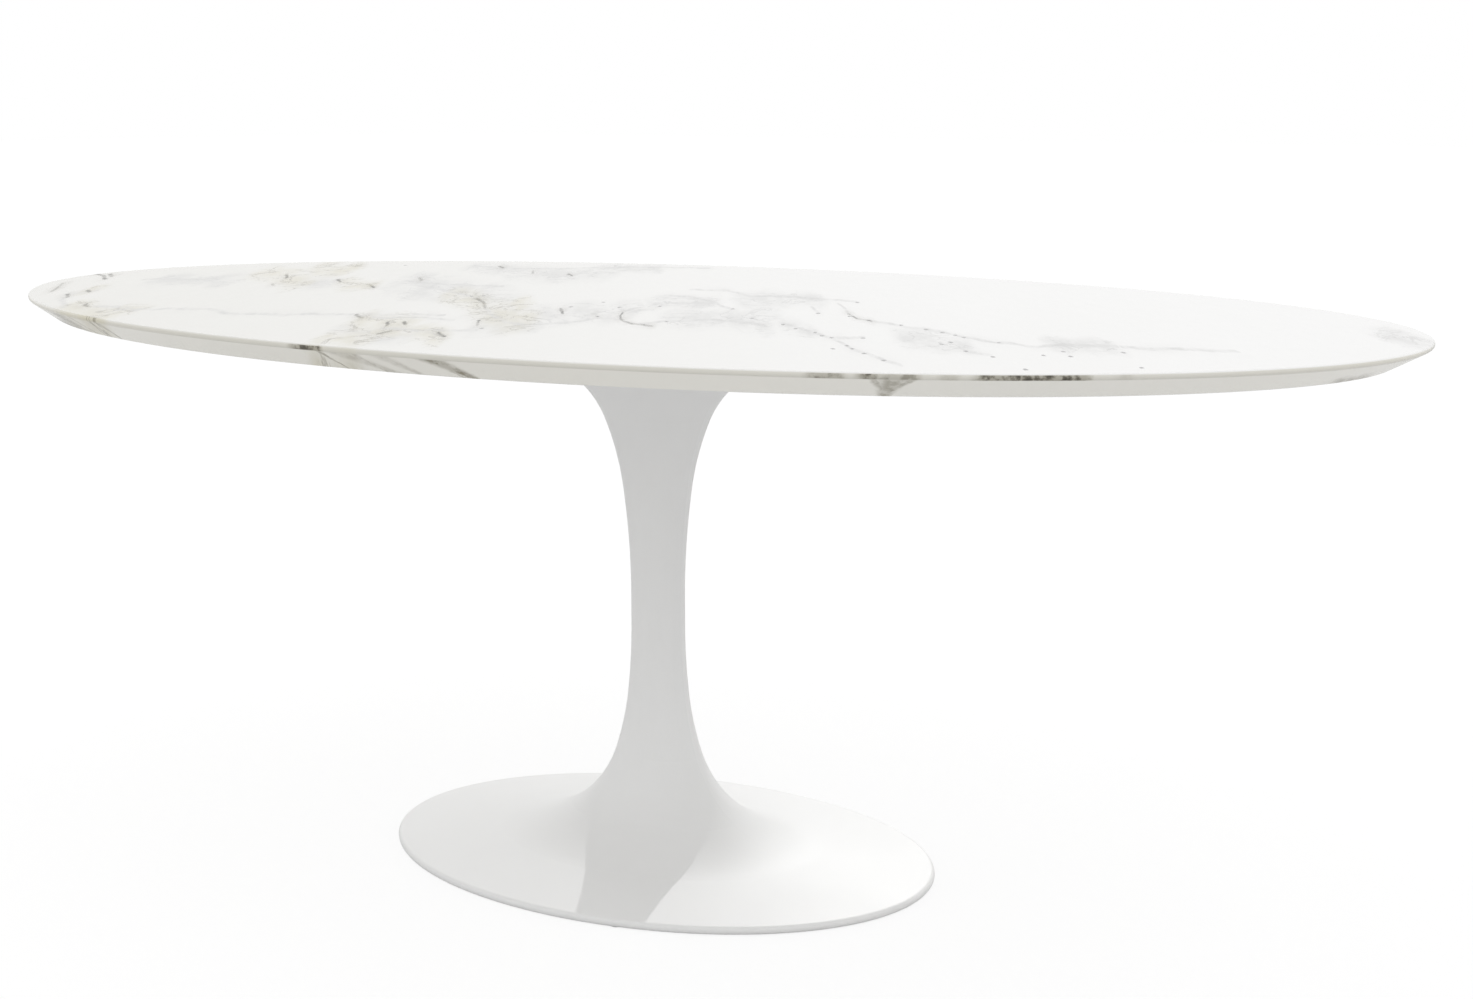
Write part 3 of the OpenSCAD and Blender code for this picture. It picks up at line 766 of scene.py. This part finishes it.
studioSet = {
    "skyTop": 0.99,
    "skyRim": 0.97,
    "rimHeight": 0.5,       # how high the darker rim of the sky reaches, as a direction's Z
    "floorReach": 40.0,
    "floorBounce": 0.74,
    "floorShown": 0.16,     # share of the floor's light that shadows can take away
    "floorGlow": 0.86,
    "keyLamp": (118.0, 31.5, 0.8, 0.80),    # azimuth, height, degrees across, strength
}


def makeFloor(s):
    # the camera sees a floor that glows nearly white, and other rays meet a plain pale one
    mesh = bpy.data.meshes.new("floor")
    reach = s["floorReach"]
    mesh.from_pydata(
        [(-reach, -reach, 0), (reach, -reach, 0), (reach, reach, 0), (-reach, reach, 0)],
        [], [(0, 1, 2, 3)],
    )
    floor = bpy.data.objects.new("floor", mesh)
    bpy.context.scene.collection.objects.link(floor)
    material = bpy.data.materials.new("floor")
    material.use_nodes = True
    tree = material.node_tree
    tree.nodes.remove(tree.nodes["Principled BSDF"])
    n = Nodes(tree)
    bounce = n.node("ShaderNodeBsdfDiffuse", {}, {"Color": (*[s["floorBounce"]] * 3, 1)})
    shown = n.node("ShaderNodeBsdfDiffuse", {}, {"Color": (*[s["floorShown"]] * 3, 1)})
    glow = n.node("ShaderNodeEmission", {}, {"Strength": s["floorGlow"]})
    bright = n.node("ShaderNodeAddShader", {}, {0: shown, 1: glow})
    toCamera = n.node("ShaderNodeLightPath", out="Is Camera Ray")
    seen = n.node("ShaderNodeMixShader", {}, {0: toCamera, 1: bounce, 2: bright})
    tree.links.new(seen.socket, tree.nodes["Material Output"].inputs["Surface"])
    mesh.materials.append(material)
    floor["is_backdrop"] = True


def makeWorld(s):
    # an even pale sky, which the camera sees as pure white, through glass too
    world = bpy.data.worlds.new("studio")
    bpy.context.scene.world = world
    world.use_nodes = True
    back = world.node_tree.nodes["Background"]
    back.inputs["Color"].default_value = (1, 1, 1, 1)
    n = Nodes(world.node_tree)
    sky = n.node(
        "ShaderNodeMapRange", {"interpolation_type": "SMOOTHSTEP"},
        {"Value": n.axis(n.node("ShaderNodeTexCoord", out="Generated"), "Z"),
         "From Max": s["rimHeight"], "To Min": s["skyRim"], "To Max": s["skyTop"]},
    )
    toCamera = n.node("ShaderNodeLightPath", out="Is Camera Ray")
    through = n.node("ShaderNodeLightPath", out="Is Transmission Ray")
    strength = n.node("ShaderNodeMapRange", {}, {"Value": n.clamp(toCamera + through),
                                                 "To Min": sky})
    n.tree.links.new(strength.socket, back.inputs["Strength"])


def makeSun(name, direction, subjects):
    # parallel light that reaches only the pieces named, and that the camera doesn't see
    azimuth, height, across, strength = direction
    light = bpy.data.lights.new(name, "SUN")
    light.energy, light.angle = strength, math.radians(across)
    sun = bpy.data.objects.new(name, light)
    azimuth, height = math.radians(azimuth), math.radians(height)
    towards = Vector((math.cos(height) * math.cos(azimuth),
                      math.cos(height) * math.sin(azimuth), math.sin(height)))
    sun.rotation_euler = towards.to_track_quat("Z", "Y").to_euler()
    sun.visible_camera = False
    bpy.context.scene.collection.objects.link(sun)
    group = bpy.data.collections.new(name + " subjects")
    for subject in subjects:
        group.objects.link(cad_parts[subject])
    sun.light_linking.receiver_collection = group


makeFloor(studioSet)
makeWorld(studioSet)
makeSun("key lamp", studioSet["keyLamp"], ["pedestal"])
bpy.context.scene.view_settings.view_transform = "Standard"
print("studio ready")

({name: [list(corner) for corner in corners]
     for name, corners in (("cad", cadBox), ("visual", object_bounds()))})
